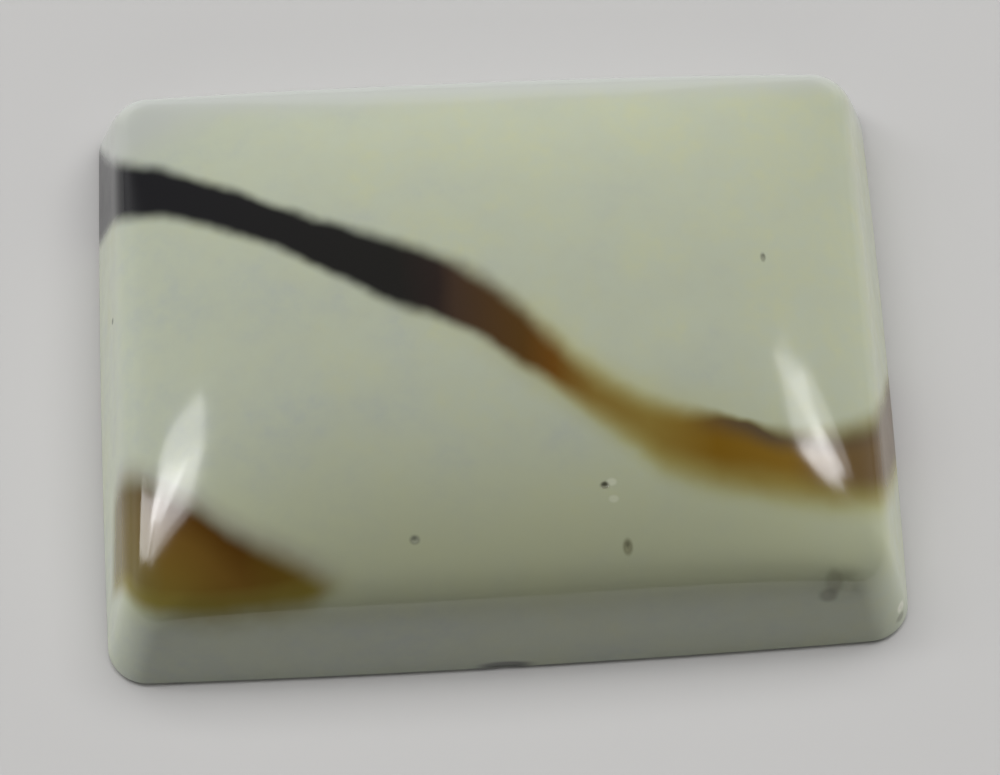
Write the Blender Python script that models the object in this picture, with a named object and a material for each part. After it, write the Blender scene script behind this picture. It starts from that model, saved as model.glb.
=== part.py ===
"""A rectangular cabochon of polished peanut jasper, as one solid stone.

It lies on its flat back at Z = 0, in metres, with its length along +X and the shorter of its long
sides at the back, towards +Y. The wall leans inwards from the girdle line, turns over a soft shoulder and
runs into a low pillow dome.
"""

import math

import bmesh
import bpy
import numpy as np

# Outline at the girdle line, the widest part of the stone. A hand-ground rectangle: no two sides match.
FRONT_LENGTH = 0.0275
BACK_LENGTH = 0.02695
LEFT_WIDTH = 0.02135
RIGHT_WIDTH = 0.02075
LONG_SIDE_BOW = 0.00022
SHORT_SIDE_BOW = 0.00015
FRONT_CORNER_RADIUS = 0.00135
BACK_RIGHT_CORNER_RADIUS = 0.0011
BACK_LEFT_CORNER_RADIUS = 0.0010

# Heights. The dome rises from the rim to the crown, and the powers set how flat its middle is.
BACK_BEVEL = 0.00025
RIM_HEIGHT = 0.00405
DOME_RISE = 0.0021
DOME_POWER_LONG = 3.4
DOME_POWER_SHORT = 2.4
WALL_LEAN = math.radians(11.0)
SHOULDER_SHARPNESS = 6.0
FRONT_SHOULDER_SOFTENING = 1.8
FRONT_LEFT_CORNER_FALL = 0.0004
FRONT_RIGHT_CORNER_FALL = 0.0008
CORNER_FALL_POWER = 5.0

# How finely the rings that make up the surface are divided
POINTS_ON_LONG_SIDE = 16
POINTS_ON_SHORT_SIDE = 12
POINTS_ON_CORNER = 7
SHOULDER_RINGS = 9
DOME_RINGS = 10

# The rings over the shoulder run from this share of the rim height on the wall line to the second one
SHOULDER_START = 0.7
SHOULDER_END = 1.75
# The last ring before the crown, as a share of the shoulder's inner ring
CROWN_RING = 0.09

JASPER_CREAM = (0.515, 0.540, 0.435, 1.0)
POLISHED_ROUGHNESS = 0.12

HALF_LENGTH = (FRONT_LENGTH + BACK_LENGTH) / 4
HALF_WIDTH = (LEFT_WIDTH + RIGHT_WIDTH) / 4
CORNERS = np.array(
    [
        (-FRONT_LENGTH / 2, -LEFT_WIDTH / 2),
        (FRONT_LENGTH / 2, -RIGHT_WIDTH / 2),
        (BACK_LENGTH / 2, RIGHT_WIDTH / 2),
        (-BACK_LENGTH / 2, LEFT_WIDTH / 2),
    ]
)
CORNER_RADII = (FRONT_CORNER_RADIUS, FRONT_CORNER_RADIUS, BACK_RIGHT_CORNER_RADIUS, BACK_LEFT_CORNER_RADIUS)
SIDE_POINTS = (POINTS_ON_LONG_SIDE, POINTS_ON_SHORT_SIDE, POINTS_ON_LONG_SIDE, POINTS_ON_SHORT_SIDE)
SIDE_BOWS = (LONG_SIDE_BOW, SHORT_SIDE_BOW, LONG_SIDE_BOW, SHORT_SIDE_BOW)


def clear_scene():
    for old in list(bpy.data.objects):
        bpy.data.objects.remove(old, do_unlink=True)


def side(index):
    """Start, direction, inward normal and length of one side of the outline, counted from the front."""
    start = CORNERS[index]
    along = CORNERS[(index + 1) % 4] - start
    length = np.linalg.norm(along)
    along = along / length
    return start, along, np.array((-along[1], along[0])), length


def depth_from_edge(point):
    """How far a point of the plan lies inside the girdle line, whose sides bow out. The corners keep
    their radius all the way up the wall."""
    depths = []
    for index in range(4):
        start, along, inward, length = side(index)
        share = np.clip((point - start) @ along / length, 0.0, 1.0)
        depths.append((point - start) @ inward + SIDE_BOWS[index] * 4 * share * (1 - share))
    nearest = min(depths)
    for index, radius in enumerate(CORNER_RADII):
        first, second = depths[index - 1], depths[index]
        if abs(first - second) < radius:
            arc = math.sqrt(2 * radius**2 - (first - second) ** 2)
            nearest = min(nearest, (first + second + arc) / 2 - radius)
    return max(nearest, 0.0)


def surface_height(point):
    """Height of the polished face: the leaning wall and the dome, blended over the shoulder. The shoulder
    is softer at the front, and the dome falls away towards the two front corners."""
    across = min(abs(point[0]) / HALF_LENGTH, 1.0)
    down = min(abs(point[1]) / HALF_WIDTH, 1.0)
    dome = RIM_HEIGHT + DOME_RISE * (1 - across**DOME_POWER_LONG) * (1 - down**DOME_POWER_SHORT)
    wall = BACK_BEVEL + depth_from_edge(point) / math.tan(WALL_LEAN)
    sharpness = SHOULDER_SHARPNESS
    if point[1] < 0:
        corner_fall = FRONT_LEFT_CORNER_FALL if point[0] < 0 else FRONT_RIGHT_CORNER_FALL
        dome -= corner_fall * (across * down) ** CORNER_FALL_POWER
        sharpness -= FRONT_SHOULDER_SOFTENING * down**2
    return dome * (1 + (dome / wall) ** sharpness) ** (-1 / sharpness)


def outline(inset):
    """Points round the stone, anticlockwise from the front left corner, that far inside the girdle line."""
    arcs = []
    for index, radius in enumerate(CORNER_RADII):
        normals = np.array((side(index - 1)[2], side(index)[2]))
        centre = np.linalg.solve(normals, normals @ CORNERS[index] + inset + radius)
        first, last = np.arctan2(-normals[:, 1], -normals[:, 0])
        turn = (last - first) % math.tau
        angles = first + turn * np.linspace(0, 1, POINTS_ON_CORNER)
        arcs.append(centre + radius * np.column_stack((np.cos(angles), np.sin(angles))))
    points = []
    for index, arc in enumerate(arcs):
        points.extend(arc)
        start, end = arc[-1], arcs[(index + 1) % 4][0]
        inward = side(index)[2]
        for step in range(1, SIDE_POINTS[index]):
            share = step / SIDE_POINTS[index]
            bow = SIDE_BOWS[index] * 4 * share * (1 - share)
            points.append(start + (end - start) * share - inward * bow)
    return np.array(points)


def dome_ring(edge, share):
    """The shoulder's inner ring drawn in to a share of its size, and eased towards an ellipse."""
    angles = np.arctan2(edge[:, 1] / HALF_WIDTH, edge[:, 0] / HALF_LENGTH)
    ellipse = np.column_stack((HALF_LENGTH * np.cos(angles), HALF_WIDTH * np.sin(angles)))
    return share * (share * edge + (1 - share) * ellipse)


def add_ring(mesh, points, height=None):
    """Adds one ring of points, at one height or on the polished face."""
    return [mesh.verts.new((*point, surface_height(point) if height is None else height)) for point in points]


def join_rings(mesh, lower, upper):
    for index in range(len(lower)):
        after = (index + 1) % len(lower)
        mesh.faces.new((lower[index], lower[after], upper[after], upper[index]))


def polished_jasper():
    material = bpy.data.materials.new("polished_jasper")
    material.use_nodes = True
    shader = material.node_tree.nodes["Principled BSDF"]
    shader.inputs["Base Color"].default_value = JASPER_CREAM
    shader.inputs["Roughness"].default_value = POLISHED_ROUGHNESS
    shader.inputs["Metallic"].default_value = 0.0
    return material


def build_cabochon():
    """The stone as rings from its flat back, round the ground edge, up the wall and in over the dome."""
    mesh = bmesh.new()
    rings = [add_ring(mesh, outline(BACK_BEVEL), 0.0), add_ring(mesh, outline(0.0), BACK_BEVEL)]
    wall_depth = RIM_HEIGHT * math.tan(WALL_LEAN)
    for share in np.linspace(SHOULDER_START, SHOULDER_END, SHOULDER_RINGS):
        inner_edge = outline(share * wall_depth)
        rings.append(add_ring(mesh, inner_edge))
    for share in np.linspace(1.0, CROWN_RING, DOME_RINGS)[1:]:
        rings.append(add_ring(mesh, dome_ring(inner_edge, share)))
    for lower, upper in zip(rings, rings[1:]):
        join_rings(mesh, lower, upper)
    mesh.faces.new(reversed(rings[0]))
    crown = mesh.verts.new((0.0, 0.0, RIM_HEIGHT + DOME_RISE))
    for index, point in enumerate(rings[-1]):
        mesh.faces.new((point, rings[-1][(index + 1) % len(rings[-1])], crown))
    bmesh.ops.recalc_face_normals(mesh, faces=mesh.faces)

    data = bpy.data.meshes.new("cabochon")
    mesh.to_mesh(data)
    mesh.free()
    data.shade_smooth()
    data.set_sharp_from_angle(angle=math.radians(30.0))
    data.materials.append(polished_jasper())
    stone = bpy.data.objects.new("cabochon", data)
    bpy.context.scene.collection.objects.link(stone)
    return stone


clear_scene()
build_cabochon()
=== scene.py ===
"""The peanut jasper cabochon dressed for its picture: the polished stone, its floor, lights and camera."""

import math

import bpy
import numpy as np
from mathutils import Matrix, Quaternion, Vector


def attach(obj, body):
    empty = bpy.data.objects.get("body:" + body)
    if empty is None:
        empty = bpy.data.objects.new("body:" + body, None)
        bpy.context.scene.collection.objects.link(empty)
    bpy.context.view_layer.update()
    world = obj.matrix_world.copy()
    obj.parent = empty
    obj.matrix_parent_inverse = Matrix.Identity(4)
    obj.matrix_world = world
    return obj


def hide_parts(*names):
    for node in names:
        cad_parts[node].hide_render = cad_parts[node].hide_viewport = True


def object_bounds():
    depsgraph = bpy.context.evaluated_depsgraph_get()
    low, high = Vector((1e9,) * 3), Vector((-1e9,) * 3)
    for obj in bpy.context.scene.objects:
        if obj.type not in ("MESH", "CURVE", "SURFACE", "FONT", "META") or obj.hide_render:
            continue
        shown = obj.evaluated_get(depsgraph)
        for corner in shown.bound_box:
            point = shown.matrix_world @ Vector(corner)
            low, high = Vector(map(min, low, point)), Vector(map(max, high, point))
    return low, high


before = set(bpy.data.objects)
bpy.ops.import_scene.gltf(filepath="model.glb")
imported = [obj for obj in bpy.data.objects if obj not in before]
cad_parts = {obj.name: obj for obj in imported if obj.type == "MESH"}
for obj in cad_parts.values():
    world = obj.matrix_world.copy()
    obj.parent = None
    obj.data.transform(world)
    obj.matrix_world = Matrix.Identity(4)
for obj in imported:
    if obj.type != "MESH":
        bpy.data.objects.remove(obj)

cad_low, cad_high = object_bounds()

# The cabochon
# One piece of peanut jasper, a hard opaque silica rock. It was sawn into a slab, ground to a tapered
# rectangle with round corners and a leaning wall, domed by hand and polished all over but the back.
MM = 0.001
front_length = 27.5 * MM
back_length = 26.95 * MM
left_width = 21.35 * MM
right_width = 20.75 * MM
long_side_bow = 0.19 * MM
short_side_bow = 0.12 * MM
corner_radii = (1.35 * MM, 1.35 * MM, 1.1 * MM, 1.0 * MM)
back_bevel = 0.25 * MM
rim_height = 4.05 * MM
dome_rise = cad_high.z - rim_height
dome_power_long = 3.4
dome_power_short = 2.4
wall_lean = math.radians(11.0)
shoulder_sharpness = 6.0
front_shoulder_softening = 1.8
front_left_corner_fall = 0.4 * MM
front_right_corner_fall = 0.8 * MM
corner_fall_power = 5.0

half_length = (front_length + back_length) / 4
half_width = (left_width + right_width) / 4
front_left = np.array((-front_length / 2, -left_width / 2))
front_right = np.array((front_length / 2, -right_width / 2))
back_right = np.array((back_length / 2, right_width / 2))
back_left = np.array((-back_length / 2, left_width / 2))
plan_corners = (front_left, front_right, back_right, back_left)


def depth_from_edge(plan):
    """How far points of the plan lie inside the girdle line. The corners keep their radius up the wall."""
    depths = []
    for index in range(4):
        start = plan_corners[index]
        along = plan_corners[(index + 1) % 4] - start
        length = np.linalg.norm(along)
        inward = np.array((-along[1], along[0])) / length
        share = np.clip((plan - start) @ along / length**2, 0, 1)
        bow = (long_side_bow, short_side_bow)[index % 2]
        depths.append((plan - start) @ inward + bow * 4 * share * (1 - share))
    nearest = np.minimum.reduce(depths)
    for index, radius in enumerate(corner_radii):
        first, second = depths[index - 1], depths[index]
        arc = np.sqrt(np.maximum(2 * radius**2 - (first - second) ** 2, 0))
        rounded = np.where(abs(first - second) < radius, (first + second + arc) / 2 - radius, nearest)
        nearest = np.minimum(nearest, rounded)
    return np.maximum(nearest, 0)


def polished_height(plan, depth):
    """Height of the polished face: the dome and the leaning wall, blended over the shoulder. The shoulder
    is softer at the front, and the dome falls away towards the two front corners."""
    across = np.minimum(abs(plan[:, 0]) / half_length, 1)
    down = np.minimum(abs(plan[:, 1]) / half_width, 1)
    front = plan[:, 1] < 0
    dome = rim_height + dome_rise * (1 - across**dome_power_long) * (1 - down**dome_power_short)
    corner_fall = np.where(plan[:, 0] < 0, front_left_corner_fall, front_right_corner_fall)
    dome -= front * corner_fall * (across * down) ** corner_fall_power
    wall = back_bevel + depth / math.tan(wall_lean)
    sharpness = shoulder_sharpness - front * front_shoulder_softening * down**2
    return dome * (1 + (dome / wall) ** sharpness) ** (-1 / sharpness)


# The slab: a finely divided grid, drawn up into a block, with the wall cut into level rings
grid_spacing = 0.1 * MM
shoulder_depth = 1.4 * MM
wall_rings = 42
half_of_block = 0.5
level_with_back = 1e-6
columns = round(2 * (half_length - shoulder_depth) / grid_spacing)
rows = round(2 * (half_width - shoulder_depth) / grid_spacing)
bpy.ops.object.select_all(action="DESELECT")
bpy.ops.mesh.primitive_grid_add(x_subdivisions=columns, y_subdivisions=rows, size=2)
cabochon = bpy.context.active_object
cabochon.name = "polished_cabochon"
bpy.ops.object.mode_set(mode="EDIT")
bpy.ops.mesh.select_all(action="SELECT")
bpy.ops.mesh.extrude_region_move(TRANSFORM_OT_translate={"value": (0, 0, 1)})
bpy.ops.mesh.select_mode(type="EDGE")
bpy.ops.mesh.select_all(action="DESELECT")
bpy.ops.object.mode_set(mode="OBJECT")
points = cabochon.data.vertices
for edge in cabochon.data.edges:
    edge.select = abs(points[edge.vertices[0]].co.z - points[edge.vertices[1]].co.z) > half_of_block
bpy.ops.object.mode_set(mode="EDIT")
bpy.ops.mesh.subdivide(number_cuts=wall_rings)
bpy.ops.mesh.select_mode(type="FACE")
bpy.ops.mesh.select_all(action="DESELECT")
bpy.ops.object.mode_set(mode="OBJECT")
for face in cabochon.data.polygons:
    face.select = face.center.z < level_with_back
bpy.ops.object.mode_set(mode="EDIT")
bpy.ops.mesh.dissolve_faces()
bpy.ops.object.mode_set(mode="OBJECT")

# The grinding: every point of the block goes to its place on the stone's outline and profile. The rings
# are spaced evenly along the profile of a straight side, from the edge of the back to the dome.
trial_steps = 400
smallest_radius = 1e-6 * MM
block = np.empty(len(cabochon.data.vertices) * 3)
cabochon.data.vertices.foreach_get("co", block)
block = block.reshape(-1, 3)
level = np.round(block[:, 2] * (wall_rings + 1)).astype(int)
trial_depth = np.linspace(0, shoulder_depth, trial_steps)
trial_height = polished_height(np.zeros((trial_steps, 2)) + (0, half_width), trial_depth)
travel = np.insert(np.cumsum(np.hypot(np.diff(trial_depth), np.diff(trial_height))), 0, 0)
ring_depth = np.interp(np.linspace(0, travel[-1], wall_rings + 1), travel, trial_depth)
ring_depth = np.insert(ring_depth, 0, back_bevel)
inset = ring_depth[level]
from_side = inset + (1 - abs(block[:, 0])) * (half_length - inset)
from_end = inset + (1 - abs(block[:, 1])) * (half_width - inset)
corner_index = np.where(block[:, 1] < 0, np.where(block[:, 0] < 0, 0, 1), np.where(block[:, 0] < 0, 3, 2))
nearer = np.minimum(from_side, from_end)
fade = np.clip(1 - (nearer - shoulder_depth) / (half_width - shoulder_depth), 0, 1)
radius = np.array(corner_radii)[corner_index] * fade + smallest_radius
turn = np.clip(1 - abs(from_side - from_end) / radius, 0, 1) * math.pi / 4
near_shift = radius * (1 - np.cos(turn))
far_place = nearer + radius * (1 - np.sin(turn))
beside = from_side <= from_end
rounded_side = np.where(turn > 0, np.where(beside, nearer + near_shift, far_place), from_side)
rounded_end = np.where(turn > 0, np.where(beside, far_place, nearer + near_shift), from_end)
across = np.sign(block[:, 0]) * (1 - rounded_side / half_length)
down = np.sign(block[:, 1]) * (1 - rounded_end / half_width)
long_half = (front_length * (1 - down) + back_length * (1 + down)) / 4 + short_side_bow * (1 - down**2)
short_half = (left_width * (1 - across) + right_width * (1 + across)) / 4 + long_side_bow * (1 - across**2)
plan = np.column_stack((across * long_half, down * short_half))
height = polished_height(plan, depth_from_edge(plan))
height[level == 1] = back_bevel
height[level == 0] = 0

# A hand-held stone is never quite even on the wheel: long, very low waves are left in the polish. Each set
# sways sideways by a part of its own length, and each length here is that of one radian.
wave_height = 0.003 * MM
long_wave = 0.85 * MM
long_wave_sway = 0.9
long_sway_length = 1.3 * MM
cross_wave = 0.7 * MM
cross_wave_sway = 1.1
cross_sway_length = 1.6 * MM
cross_wave_start = 2
long_waves = np.sin(plan[:, 0] / long_wave + long_wave_sway * np.sin(plan[:, 1] / long_sway_length))
cross_sway = cross_wave_sway * np.sin(plan[:, 0] / cross_sway_length)
cross_waves = np.sin(plan[:, 1] / cross_wave + cross_sway + cross_wave_start)
polished = np.clip((height - back_bevel) / rim_height, 0, 1)
height -= wave_height * polished * (2 + long_waves + cross_waves)
cabochon.data.vertices.foreach_set("co", np.column_stack((plan, height)).ravel())
cabochon.data.update()

# Small natural pits, and the two nicks in the lower edge: centre, reach along each axis and depth in mm
hollows = (
    ((3.41, -6.42, 5.49), (0.17, 0.15, 0.15), 0.07),
    ((4.08, -8.45, 4.88), (0.12, 0.22, 0.2), 0.03),
    ((-3.11, -7.90, 5.08), (0.14, 0.12, 0.15), 0.025),
    ((9.33, 1.83, 5.54), (0.10, 0.16, 0.15), 0.03),
    ((-13.12, 1.71, 3.10), (0.12, 0.11, 0.12), 0.03),
    ((13.42, -9.57, 0.92), (0.18, 0.16, 0.22), 0.025),
    ((-0.19, -10.60, 0.35), (0.90, 0.25, 0.24), 0.06),
)
hollow_margin = 0.06 * MM
hollow_cuts = 3
sharp_angle = math.radians(30)
for centre, reach, depth in hollows:
    centre, reach = Vector(centre) * MM, Vector(reach) * MM
    bpy.ops.object.mode_set(mode="EDIT")
    bpy.ops.mesh.select_mode(type="FACE")
    bpy.ops.mesh.select_all(action="DESELECT")
    bpy.ops.object.mode_set(mode="OBJECT")
    for face in cabochon.data.polygons:
        away = face.center - centre
        distance = math.hypot(*(away[axis] / (reach[axis] + hollow_margin) for axis in range(3)))
        face.select = distance < 1 and len(face.vertices) == 4
    bpy.ops.object.mode_set(mode="EDIT")
    bpy.ops.mesh.subdivide(number_cuts=hollow_cuts)
    bpy.ops.object.mode_set(mode="OBJECT")
    moves = []
    for point in cabochon.data.vertices:
        away = point.co - centre
        distance = math.hypot(*(away[axis] / reach[axis] for axis in range(3)))
        if distance < 1 and point.co.z > 0:
            moves.append((point, point.normal * depth * MM * (1 - distance**2) ** 2))
    for point, move in moves:
        point.co -= move
bpy.ops.object.shade_smooth_by_angle(angle=sharp_angle)


def add(tree, kind, *inputs, out=0, sockets=None, points=None, stops=None, **settings):
    """Adds a shader node with its settings, its curve points or colour stops, and the values or outputs
    that feed its inputs, in order or by socket number. Returns one of its outputs."""
    node = tree.nodes.new("ShaderNode" + kind)
    for name, value in settings.items():
        setattr(node, name, value)
    if points:
        mapping = node.mapping
        mapping.clip_min_x, mapping.clip_max_x = points[0][0], points[-1][0]
        mapping.clip_min_y = min(y for x, y in points) - 1
        mapping.clip_max_y = max(y for x, y in points) + 1
        curve = mapping.curves[0].points
        while len(curve) < len(points):
            curve.new(0, 0)
        for knot, location in zip(curve, points):
            knot.location = location
        mapping.update()
    if stops:
        ramp = node.color_ramp.elements
        while len(ramp) < len(stops):
            ramp.new(0.5)
        start, end = stops[0][0], stops[-1][0]
        for stop, (position, colour) in zip(ramp, stops):
            stop.position = (position - start) / (end - start)
            stop.color = linear(colour)
    for socket, value in {**dict(enumerate(inputs)), **(sockets or {})}.items():
        if isinstance(value, bpy.types.NodeSocket):
            tree.links.new(value, node.inputs[socket])
        elif value is not None:
            node.inputs[socket].default_value = value
    return node.outputs[out]


def linear(hex_colour):
    """An sRGB hex colour as linear values, with full alpha."""
    channels = [int(hex_colour[index : index + 2], 16) / 255 for index in (1, 3, 5)]
    return (*(c / 12.92 if c <= 0.04045 else ((c + 0.055) / 1.055) ** 2.4 for c in channels), 1.0)


# The stone's own pattern. The markings are bodies in the rock, so they show wherever they meet a face: a
# dark band that slopes across the dome and leans as it goes down through the whole stone, and a patch at
# one corner that ends before it reaches the foot.
cream = "#b6bca7"
yellow_cream = "#babea0"
grey_cream = "#b0b6a9"
front_olive = "#b6b992"
halo_olive = "#b8b88b"
foot_olive = "#a39d5a"
pale_corner_and_back_reflection = "#b4b7b2"
patch_rim = "#8f8642"
patch_fringe = "#8f8a80"
patch_olive = "#6f6740"
patch_tip = "#766326"
patch_low = "#6a5f1c"
dark_line = "#55493b"
smudge_grey = "#5b5a44"

# Edges of the band: distance along the stone against distance across it at the height of the back, in mm
band_top = (
    (-14, 9.86),
    (-12.3, 9.9),
    (-9.5, 9.17),
    (-6.8, 8.06),
    (-4.1, 7.11),
    (-2.1, 6.34),
    (-0.1, 5.05),
    (1.8, 2.99),
    (3.1, 1.6),
    (4.5, 0.58),
    (5.8, -0.11),
    (7.8, -0.45),
    (9.8, -1.26),
    (11.8, -1.4),
    (12.9, -1.1),
    (14, -0.1),
)
band_foot = (
    (-14, 6.05),
    (-11.7, 6.28),
    (-8.9, 5.61),
    (-6.9, 4.85),
    (-5.5, 4.15),
    (-3.5, 3.13),
    (-1.5, 2.51),
    (1.1, 0.86),
    (2.4, -0.05),
    (4.4, -1.45),
    (5.7, -2.47),
    (9, -3.27),
    (12.1, -3.76),
    (14, -3.55),
)

# How far the band's edges lean with height. Then, by distance along the stone: how soft the edges are, in
# mm, and how strong the olive halo outside each edge and the dark line inside the upper one are.
band_top_lean = 0.65
band_foot_lean = 0.485
band_foot_lean_change = 0.0159
band_top_softness = (
    (-14, 0.45),
    (-2.5, 0.45),
    (0, 0.72),
    (5, 0.72),
    (6.5, 0.5),
    (8.5, 0.2),
    (10, 0.5),
    (14, 0.75),
)
band_foot_softness = ((-14, 0.38), (-1, 0.4), (2, 0.5), (4, 0.75), (7, 0.95), (11, 0.95), (14, 0.6))
top_halo_strength = ((-14, 0), (0, 0), (2.5, 0.9), (5.5, 0.8), (8, 0.2), (14, 0.2))
foot_halo_strength = ((-14, 0), (-2, 0.1), (2, 0.5), (6, 0.9), (9, 0.95), (14, 0.95))
dark_line_strength = ((-14, 0), (6, 0), (8, 0.8), (10.5, 0.8), (14, 0.5))

# Colours along the band, edges of the patch, and its colours inwards from its upper edge, in mm
band_colours = (
    (-14, "#232326"),
    (-3.2, "#272624"),
    (-1.9, "#302825"),
    (-1.3, "#44352a"),
    (0.9, "#563d1d"),
    (1.9, "#6b4719"),
    (3.3, "#846d35"),
    (5.0, "#8b7639"),
    (7.3, "#7d5d1b"),
    (9.7, "#856625"),
    (11.9, "#6c5634"),
    (14, "#665238"),
)
patch_top = (
    (-14, -5),
    (-12.7, -4.8),
    (-11.7, -5.4),
    (-10.7, -6.05),
    (-9.35, -7.2),
    (-7.7, -8.2),
    (-6.05, -9.0),
    (-5.4, -9.15),
)
patch_foot = (
    (-14, -7.4),
    (-13.2, -8.4),
    (-12.2, -9.5),
    (-11, -9.84),
    (-8.5, -9.88),
    (-7, -9.75),
    (-5.4, -9.35),
)
patch_colours = ((0, "#544228"), (0.6, "#593c14"), (1.6, "#6e5222"), (2.6, "#735b26"), (4.0, "#77672f"))

# The clouds in the ground: how many to the mm, how detailed and how rough, and the range that shows
wander_noise = (0.7, 2.0, 0.5)
wander_reach = 0.3
cloud_noise = (0.35, 4.0, 0.6)
cloud_range = (0.35, 0.65)
fine_cloud_noise = (1.6, 3.0, 0.6)
fine_cloud_range = (0.3, 0.7)

# Changes of colour: where each starts and ends, in mm, and its share at both ends where that isn't 0 and 1
yellowing = (-14.0, 16.0, -0.3, 0.5)
# Painted reflection: the paler grey along the back rim stands for the low back light mirrored there. The
# back-left corner turns the same paler grey.
back_reflection_change = (8.0, 9.7)
back_corner_slope = -0.55
back_corner_change = (12.6, 15.2, 0.0, 0.85)
front_dome_change = (-3.0, -8.5, 0.0, 0.6)
above_front_wall = (2.8, 4.4)
top_halo_change = (-1.6, 0.3)
foot_halo_change = (-1.3, 0.3)
dark_line_change = (1.1, 0.1)
patch_top_change = (-0.6, 0.6)
patch_foot_change = (-0.35, 0.45)
patch_tip_change = (-5.0, -6.8)
patch_wall_slope = -0.3
patch_wall_change = (3.4, 5.1)
fringe_change = (-1.1, -0.2, 0.0, 0.45)
patch_olive_change = (-11.6, -12.7, 0.0, 0.6)
patch_tip_colour_change = (-9.0, -6.6, 0.0, 0.9)
patch_low_change = (3.7, 2.7, 0.0, 0.8)
patch_rim_change = (0.9, 0.0, 0.0, 0.85)

# The smudge low at one corner: centre and reach in mm, its edge as a share of the reach, and its mottling
smudge_centre = (11.3, -9.6, 3.5)
smudge_reach = (1.0, 0.55, 0.8)
smudge_edge = (1.4, 0.3)
mottle_noise = (1.2, 2.0, 0.5)
mottle_range = (0.35, 0.65, 0.05, 0.35)

# Small marks and one painted shade: centre, reach along each axis, colour and strength, all with one
# softness of edge
mark_edge = (1.4, 0.6)
marks_and_painted_shade = (
    ((3.41, -6.42, 5.49), (0.15, 0.13, 0.3), "#4b463c", 0.65),
    ((3.65, -6.30, 5.50), (0.16, 0.12, 0.3), "#d3d6bf", 0.6),
    ((3.69, -6.87, 5.37), (0.16, 0.12, 0.3), "#d3d6bf", 0.5),
    ((4.08, -8.45, 4.88), (0.16, 0.26, 0.4), "#5e5a3c", 0.6),
    ((-3.11, -7.90, 5.08), (0.17, 0.15, 0.4), "#6e7068", 0.6),
    ((9.33, 1.83, 5.54), (0.09, 0.17, 0.3), "#4c4a42", 0.5),
    ((-13.12, 1.71, 3.10), (0.2, 0.11, 0.13), "#3c3a36", 0.7),
    ((13.44, -9.5, 1.0), (0.3, 0.2, 0.22), "#dcdccd", 0.8),
    ((13.40, -9.72, 0.62), (0.3, 0.2, 0.16), "#7b7d70", 0.6),
    ((10.85, -9.8, 3.12), (0.32, 0.25, 0.36), "#3f3d2e", 0.4),
    ((11.05, -9.55, 3.65), (0.3, 0.35, 0.6), "#4a4836", 0.3),
    # Painted shade: the dark grey in the nick at the front of the foot stands for the shadow that collects
    # there
    ((-0.19, -10.60, 0.35), (0.9, 0.4, 0.22), "#45424a", 0.7),
)


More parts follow.
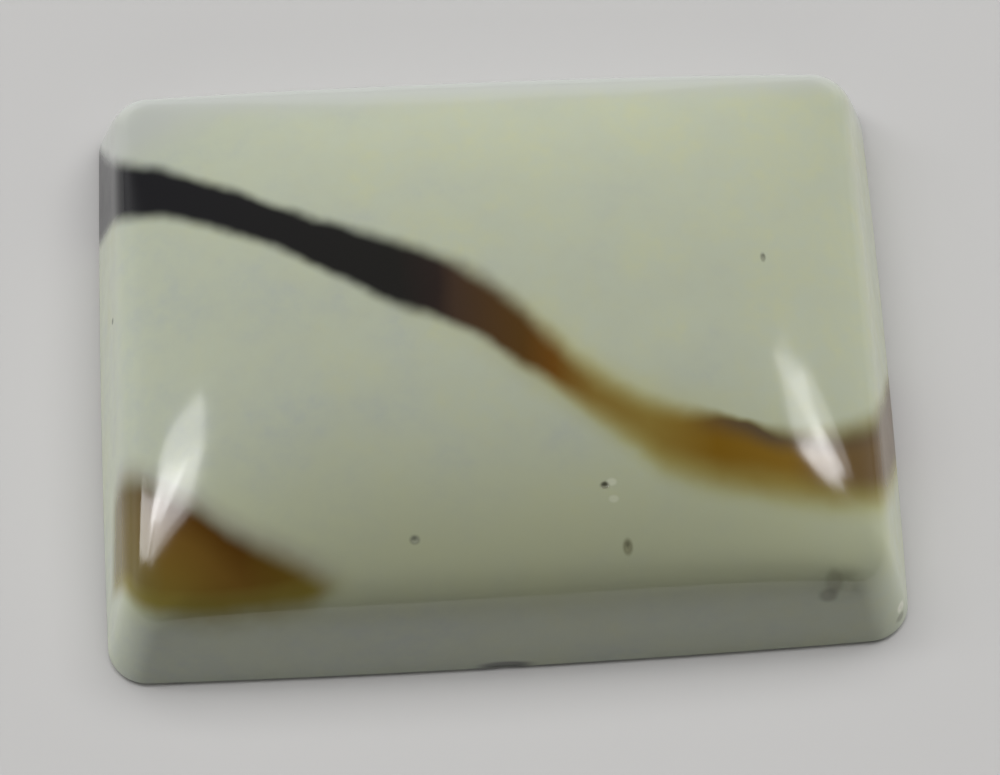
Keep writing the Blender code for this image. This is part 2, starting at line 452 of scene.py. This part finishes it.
def jasper_colour(tree):
    """The rock's colour from its place in the stone in mm, with a painted reflection and painted shade."""
    position = add(tree, "TexCoord", out="Object")
    place = add(tree, "VectorMath", position, sockets={3: 1 / MM}, operation="SCALE")
    wander = add(tree, "TexNoise", place, None, *wander_noise, out="Color")
    wander = add(tree, "VectorMath", wander, (0.5, 0.5, 0.5), operation="SUBTRACT")
    wander = add(tree, "VectorMath", wander, (wander_reach,) * 3, operation="MULTIPLY")
    wandered = add(tree, "VectorMath", place, wander, operation="ADD")
    axes = tree.nodes.new("ShaderNodeSeparateXYZ")
    tree.links.new(wandered, axes.inputs[0])
    along, across, rise = axes.outputs

    clouds = add(tree, "TexNoise", place, None, *cloud_noise)
    clouds = add(tree, "MapRange", clouds, *cloud_range)
    slant = add(tree, "Math", along, across, operation="ADD")
    slant = add(tree, "MapRange", slant, *yellowing)
    yellowness = add(tree, "Math", clouds, slant, operation="ADD", use_clamp=True)
    colour = add(tree, "Mix", yellowness, out=2, sockets={6: linear(grey_cream), 7: linear(yellow_cream)},
                 data_type="RGBA")
    fine_clouds = add(tree, "TexNoise", place, None, *fine_cloud_noise)
    fine_clouds = add(tree, "MapRange", fine_clouds, *fine_cloud_range)
    colour = add(tree, "Mix", fine_clouds, out=2, sockets={6: colour, 7: linear(cream)}, data_type="RGBA")

    # Painted reflection along the back rim, and the paler grey back-left corner
    back_reflection_and_corner = add(tree, "MapRange", across, *back_reflection_change, interpolation_type="SMOOTHSTEP")
    back_corner = add(tree, "Math", along, back_corner_slope, across, operation="MULTIPLY_ADD")
    back_corner = add(tree, "MapRange", back_corner, *back_corner_change, interpolation_type="SMOOTHSTEP")
    back_reflection_and_corner = add(tree, "Math", back_reflection_and_corner, back_corner, operation="MAXIMUM")
    colour = add(tree, "Mix", back_reflection_and_corner, out=2, sockets={6: colour, 7: linear(pale_corner_and_back_reflection)}, data_type="RGBA")

    front_dome = add(tree, "MapRange", across, *front_dome_change, interpolation_type="SMOOTHSTEP")
    above_wall = add(tree, "MapRange", rise, *above_front_wall, interpolation_type="SMOOTHSTEP")
    front_dome = add(tree, "Math", front_dome, above_wall, operation="MULTIPLY")
    colour = add(tree, "Mix", front_dome, out=2, sockets={6: colour, 7: linear(front_olive)},
                 data_type="RGBA")

    top_edge = add(tree, "FloatCurve", 1.0, along, points=band_top)
    top_place = add(tree, "Math", rise, band_top_lean, across, operation="MULTIPLY_ADD")
    below_top = add(tree, "Math", top_edge, top_place, operation="SUBTRACT")
    foot_edge = add(tree, "FloatCurve", 1.0, along, points=band_foot)
    foot_lean = add(tree, "Math", along, band_foot_lean_change, band_foot_lean, operation="MULTIPLY_ADD")
    foot_place = add(tree, "Math", rise, foot_lean, across, operation="MULTIPLY_ADD")
    above_foot = add(tree, "Math", foot_place, foot_edge, operation="SUBTRACT")

    softness = add(tree, "FloatCurve", 1.0, along, points=band_top_softness)
    top_share = add(tree, "Math", below_top, softness, operation="DIVIDE")
    top_share = add(tree, "MapRange", top_share, -1.0, 1.0, interpolation_type="SMOOTHSTEP")
    softness = add(tree, "FloatCurve", 1.0, along, points=band_foot_softness)
    foot_share = add(tree, "Math", above_foot, softness, operation="DIVIDE")
    foot_share = add(tree, "MapRange", foot_share, -1.0, 1.0, interpolation_type="SMOOTHSTEP")

    halo = add(tree, "FloatCurve", 1.0, along, points=top_halo_strength)
    halo = add(tree, "MapRange", below_top, *top_halo_change, 0.0, halo, interpolation_type="SMOOTHSTEP")
    halo = add(tree, "Math", halo, foot_share, operation="MULTIPLY")
    colour = add(tree, "Mix", halo, out=2, sockets={6: colour, 7: linear(halo_olive)}, data_type="RGBA")
    halo = add(tree, "FloatCurve", 1.0, along, points=foot_halo_strength)
    halo = add(tree, "MapRange", above_foot, *foot_halo_change, 0.0, halo, interpolation_type="SMOOTHSTEP")
    halo = add(tree, "Math", halo, top_share, operation="MULTIPLY")
    colour = add(tree, "Mix", halo, out=2, sockets={6: colour, 7: linear(foot_olive)}, data_type="RGBA")
    band = add(tree, "Math", top_share, foot_share, operation="MULTIPLY")
    run = add(tree, "MapRange", along, band_colours[0][0], band_colours[-1][0])
    band_colour = add(tree, "ValToRGB", run, stops=band_colours)
    line = add(tree, "FloatCurve", 1.0, along, points=dark_line_strength)
    line = add(tree, "MapRange", below_top, *dark_line_change, 0.0, line, interpolation_type="SMOOTHSTEP")
    band_colour = add(tree, "Mix", line, out=2, sockets={6: band_colour, 7: linear(dark_line)},
                      data_type="RGBA")
    colour = add(tree, "Mix", band, out=2, sockets={6: colour, 7: band_colour}, data_type="RGBA")

    patch_edge = add(tree, "FloatCurve", 1.0, along, points=patch_top)
    inside_patch = add(tree, "Math", patch_edge, across, operation="SUBTRACT")
    patch_edge = add(tree, "FloatCurve", 1.0, along, points=patch_foot)
    above_patch_foot = add(tree, "Math", across, patch_edge, operation="SUBTRACT")
    patch = add(tree, "MapRange", inside_patch, *patch_top_change, interpolation_type="SMOOTHSTEP")
    foot_share = add(tree, "MapRange", above_patch_foot, *patch_foot_change,
                     interpolation_type="SMOOTHSTEP")
    tip = add(tree, "MapRange", along, *patch_tip_change, interpolation_type="SMOOTHSTEP")
    slanted_rise = add(tree, "Math", across, patch_wall_slope, rise, operation="MULTIPLY_ADD")
    above_wall = add(tree, "MapRange", slanted_rise, *patch_wall_change, interpolation_type="SMOOTHSTEP")
    for share in (foot_share, tip, above_wall):
        patch = add(tree, "Math", patch, share, operation="MULTIPLY")
    fringe = add(tree, "MapRange", inside_patch, *fringe_change, interpolation_type="SMOOTHSTEP")
    for share in (foot_share, tip, above_wall):
        fringe = add(tree, "Math", fringe, share, operation="MULTIPLY")
    colour = add(tree, "Mix", fringe, out=2, sockets={6: colour, 7: linear(patch_fringe)}, data_type="RGBA")
    depth_share = add(tree, "MapRange", inside_patch, patch_colours[0][0], patch_colours[-1][0])
    patch_colour = add(tree, "ValToRGB", depth_share, stops=patch_colours)
    left_end = add(tree, "MapRange", along, *patch_olive_change)
    patch_colour = add(tree, "Mix", left_end, out=2, sockets={6: patch_colour, 7: linear(patch_olive)},
                       data_type="RGBA")
    tip_share = add(tree, "MapRange", along, *patch_tip_colour_change)
    patch_colour = add(tree, "Mix", tip_share, out=2, sockets={6: patch_colour, 7: linear(patch_tip)},
                       data_type="RGBA")
    on_wall = add(tree, "MapRange", rise, *patch_low_change)
    patch_colour = add(tree, "Mix", on_wall, out=2, sockets={6: patch_colour, 7: linear(patch_low)},
                       data_type="RGBA")
    rim = add(tree, "MapRange", above_patch_foot, *patch_rim_change)
    patch_colour = add(tree, "Mix", rim, out=2, sockets={6: patch_colour, 7: linear(patch_rim)},
                       data_type="RGBA")
    colour = add(tree, "Mix", patch, out=2, sockets={6: colour, 7: patch_colour}, data_type="RGBA")

    mottle = add(tree, "TexNoise", place, None, *mottle_noise)
    mottle = add(tree, "MapRange", mottle, *mottle_range)
    away = add(tree, "VectorMath", place, smudge_centre, operation="SUBTRACT")
    away = add(tree, "VectorMath", away, smudge_reach, operation="DIVIDE")
    away = add(tree, "VectorMath", away, out=1, operation="LENGTH")
    smudge = add(tree, "MapRange", away, *smudge_edge, 0.0, mottle, interpolation_type="SMOOTHSTEP")
    colour = add(tree, "Mix", smudge, out=2, sockets={6: colour, 7: linear(smudge_grey)}, data_type="RGBA")

    for centre, reach, mark_colour, strength in marks_and_painted_shade:
        away = add(tree, "VectorMath", place, centre, operation="SUBTRACT")
        away = add(tree, "VectorMath", away, reach, operation="DIVIDE")
        away = add(tree, "VectorMath", away, out=1, operation="LENGTH")
        mark = add(tree, "MapRange", away, *mark_edge, 0.0, strength, interpolation_type="SMOOTHSTEP")
        colour = add(tree, "Mix", mark, out=2, sockets={6: colour, 7: linear(mark_colour)},
                     data_type="RGBA")
    return place, colour


# Polished jasper: dense silica brought to a glassy polish on fine diamond and oxide. It gives the eye one
# clean reflection over an opaque colour, broken only by the faintest ripple. The wall, which a setting
# would hide, was polished less, so it mirrors the table a little more softly. Each range of the noise or of
# the height in mm is followed by the roughness at its two ends.
jasper_ior = 1.54
smear_noise = (0.8, 3.0, 0.6)
smear_roughness = (0.3, 0.7, 0.06, 0.11)
satin_wall_roughness = (3.8, 2.8, 0.0, 0.15)
ripple_noise = (1.1, 2.0, 0.5)
ripple_height = 0.0008 * MM
material = bpy.data.materials.new("peanut_jasper_polished")
material.use_nodes = True
tree = material.node_tree
shader = tree.nodes["Principled BSDF"]
place, colour = jasper_colour(tree)
tree.links.new(colour, shader.inputs["Base Color"])
shader.inputs["IOR"].default_value = jasper_ior
smears = add(tree, "TexNoise", place, None, *smear_noise)
smears = add(tree, "MapRange", smears, *smear_roughness)
axes = tree.nodes.new("ShaderNodeSeparateXYZ")
tree.links.new(place, axes.inputs[0])
rise = axes.outputs["Z"]
satin_wall = add(tree, "MapRange", rise, *satin_wall_roughness, interpolation_type="SMOOTHSTEP")
roughness = add(tree, "Math", smears, satin_wall, operation="ADD")
tree.links.new(roughness, shader.inputs["Roughness"])
ripple = add(tree, "TexNoise", place, None, *ripple_noise)
normal = add(tree, "Bump", 1.0, ripple_height, None, ripple)
tree.links.new(normal, shader.inputs["Normal"])
cabochon.data.materials.append(material)

# Lapped jasper: the flat back and its narrow ground edge were only levelled on a coarse wheel after the saw.
# They are matt and a little paler than the polish, with fine marks that run one way.
lapped_pale = "#d4d4cc"
lapped_paleness = 0.15
lapped_roughness = 0.55
lap_mark_squash = (0.3, 9.0, 1.0)
lap_mark_noise = (1.0, 3.0, 0.6)
lap_mark_strength = 0.6
lap_mark_height = 0.01 * MM
facing_down = -0.5
material = bpy.data.materials.new("peanut_jasper_lapped")
material.use_nodes = True
tree = material.node_tree
shader = tree.nodes["Principled BSDF"]
place, colour = jasper_colour(tree)
colour = add(tree, "Mix", lapped_paleness, out=2, sockets={6: colour, 7: linear(lapped_pale)},
             data_type="RGBA")
tree.links.new(colour, shader.inputs["Base Color"])
shader.inputs["IOR"].default_value = jasper_ior
shader.inputs["Roughness"].default_value = lapped_roughness
squashed_place = add(tree, "VectorMath", place, lap_mark_squash, operation="MULTIPLY")
lap_marks = add(tree, "TexNoise", squashed_place, None, *lap_mark_noise)
normal = add(tree, "Bump", lap_mark_strength, lap_mark_height, None, lap_marks)
tree.links.new(normal, shader.inputs["Normal"])
cabochon.data.materials.append(material)
for face in cabochon.data.polygons:
    face.material_index = 1 if face.normal.z < facing_down else 0

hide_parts("cabochon")
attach(cabochon, "root")

# The surface it lies on
# A plain pale matt card, as in a small product studio. It only carries the shadows.
floor_size = 0.8
card_grey = "#abaaa9"
card_roughness = 0.9
bpy.ops.object.select_all(action="DESELECT")
bpy.ops.mesh.primitive_plane_add(size=floor_size)
floor = bpy.context.active_object
floor.name = "floor"
card = bpy.data.materials.new("matt_card")
card.use_nodes = True
shader = card.node_tree.nodes["Principled BSDF"]
shader.inputs["Base Color"].default_value = linear(card_grey)
shader.inputs["Roughness"].default_value = card_roughness
shader.inputs["Specular IOR Level"].default_value = 0.0
floor.data.materials.append(card)


# The light
# A wide low panel behind the stone shades the dome from back to front, with a softer panel above it and at
# each side. Small lamps high at the left and right, with a brighter core on each side, make the two long
# highlights. The room glows at both sides.
def panel(name, azimuth, elevation, distance, width, height, radiance, roll=0, shadow=True, glossy=True):
    """A rectangular lamp facing the stone, its place and roll in degrees and metres. Azimuth 0 is behind
    the stone and 90 on its right."""
    turn, rise = math.radians(azimuth), math.radians(elevation)
    towards = Vector((math.sin(turn) * math.cos(rise), math.cos(turn) * math.cos(rise), math.sin(rise)))
    data = bpy.data.lights.new(name, "AREA")
    data.shape = "RECTANGLE"
    data.size = width
    data.size_y = height
    data.energy = radiance * math.pi * width * height
    data.use_shadow = shadow
    lamp = bpy.data.objects.new(name, data)
    lamp.location = towards * distance
    lamp.rotation_mode = "QUATERNION"
    lamp.rotation_quaternion = towards.to_track_quat("Z", "Y") @ Quaternion((0, 0, 1), math.radians(roll))
    lamp.visible_glossy = glossy
    bpy.context.scene.collection.objects.link(lamp)
    return lamp


# These shade the stone and leave the card alone
stone_lamps = (
    panel("back_panel", 0, 27, 1.0, 2.0, 0.3, radiance=5.6, shadow=False, glossy=False),
    panel("high_back_panel", 0, 65, 0.6, 0.5, 0.15, radiance=2.1, glossy=False),
    panel("left_fill", -68, 54, 0.5, 0.15, 0.15, radiance=2.4, glossy=False),
    panel("right_fill", 64, 55, 0.5, 0.12, 0.12, radiance=4.8, glossy=False),
    panel("left_side", -92, 6, 0.6, 0.3, 0.12, radiance=9.0, glossy=False),
    panel("right_side", 92, 6, 0.6, 0.3, 0.12, radiance=10.5, glossy=False),
)

# These make the highlights, and light the card a little too
panel("back_glow", 0, 12, 0.8, 1.6, 0.25, radiance=0.6, shadow=False)
panel("left_lamp", -66.2, 55.7, 0.5, 0.080, 0.107, radiance=4.2, roll=-53)
panel("left_near_lamp", -70.8, 59.2, 0.5, 0.065, 0.075, radiance=2.8, roll=-53)
panel("left_top_lamp", -55.6, 56, 0.5, 0.017, 0.044, radiance=0.8)
panel("left_low_lamp", -71.8, 46.0, 0.5, 0.055, 0.140, radiance=7)
panel("left_core", -67.3, 54.3, 0.5, 0.034, 0.058, radiance=7)
panel("right_lamp", 62.8, 55.6, 0.5, 0.052, 0.106, radiance=3.6, roll=61)
panel("right_top_lamp", 52.5, 53.5, 0.5, 0.021, 0.044, radiance=1.2)
panel("right_low_lamp", 63.8, 52.2, 0.5, 0.060, 0.074, radiance=2.6, roll=90)
panel("right_core", 69.5, 56, 0.5, 0.026, 0.066, radiance=9, roll=16)

# A wide lamp above and a low one in front light only the card, and leave the thin soft shade round the
# stone's foot
card_lamp = panel("card_lamp", 8, 78, 1.0, 1.1, 0.95, radiance=4.25, glossy=False)
card_fill = panel("card_fill", 180, 30, 0.6, 0.6, 0.3, radiance=1.2, shadow=False, glossy=False)
for lamps, lit in ((stone_lamps, cabochon), ((card_lamp, card_fill), floor)):
    for lamp in lamps:
        lamp.light_linking.receiver_collection = bpy.data.collections.new(lamp.name + "_lights")
        lamp.light_linking.receiver_collection.objects.link(lit)

# The room: a glow on either side, that falls off below and towards the front
left_glow_change = (-0.5, -1.0, 0.0, 0.8)
right_glow_change = (0.5, 1.0, 0.0, 0.4)
front_change = (-0.6, 0.2)
height_change = (-0.05, 0.35, 0.35, 1.0)
world = bpy.data.worlds.new("dim_room")
bpy.context.scene.world = world
world.use_nodes = True
sky = world.node_tree
direction = sky.nodes.new("ShaderNodeSeparateXYZ")
sky.links.new(add(sky, "TexCoord", out="Generated"), direction.inputs[0])
rightwards, backwards, upwards = direction.outputs
left_glow = add(sky, "MapRange", rightwards, *left_glow_change, interpolation_type="SMOOTHSTEP")
right_glow = add(sky, "MapRange", rightwards, *right_glow_change, interpolation_type="SMOOTHSTEP")
sideways = add(sky, "Math", left_glow, right_glow, operation="ADD")
away_from_front = add(sky, "MapRange", backwards, *front_change, interpolation_type="SMOOTHSTEP")
above_floor = add(sky, "MapRange", upwards, *height_change)
glow = add(sky, "Math", sideways, away_from_front, operation="MULTIPLY")
glow = add(sky, "Math", glow, above_floor, operation="MULTIPLY")
sky.links.new(glow, sky.nodes["Background"].inputs["Strength"])
sky.nodes["Background"].inputs["Color"].default_value = (1, 1, 1, 1)
bpy.context.scene.view_settings.view_transform = "Standard"

# The camera
# A long lens looks down on the stone from the front, a little from the left, as in the photograph.
image_width = 1000
sensor_width = 36.0
nearest_seen = 0.01
pixels_per_mm = 28.9
camera_distance = 0.25
camera_azimuth = math.radians(-3.0)
camera_elevation = math.radians(65.5)
stone_centre = Vector((0, 0, 2.5 * MM))
centre_offset_right = -5.5
centre_offset_up = 32.0
back = Vector(
    (
        math.sin(camera_azimuth) * math.cos(camera_elevation),
        -math.cos(camera_azimuth) * math.cos(camera_elevation),
        math.sin(camera_elevation),
    )
)
right = Vector((math.cos(camera_azimuth), math.sin(camera_azimuth), 0))
up = back.cross(right)
aim = stone_centre - (right * centre_offset_right + up * centre_offset_up) / pixels_per_mm * MM
camera_data = bpy.data.cameras.new("camera")
camera_data.sensor_width = sensor_width
camera_data.lens = pixels_per_mm * camera_distance / MM * sensor_width / image_width
camera_data.clip_start = nearest_seen
camera = bpy.data.objects.new("camera", camera_data)
camera.location = aim + back * camera_distance
camera.rotation_mode = "QUATERNION"
camera.rotation_quaternion = back.to_track_quat("Z", "Y")
bpy.context.scene.collection.objects.link(camera)
bpy.context.scene.camera = camera
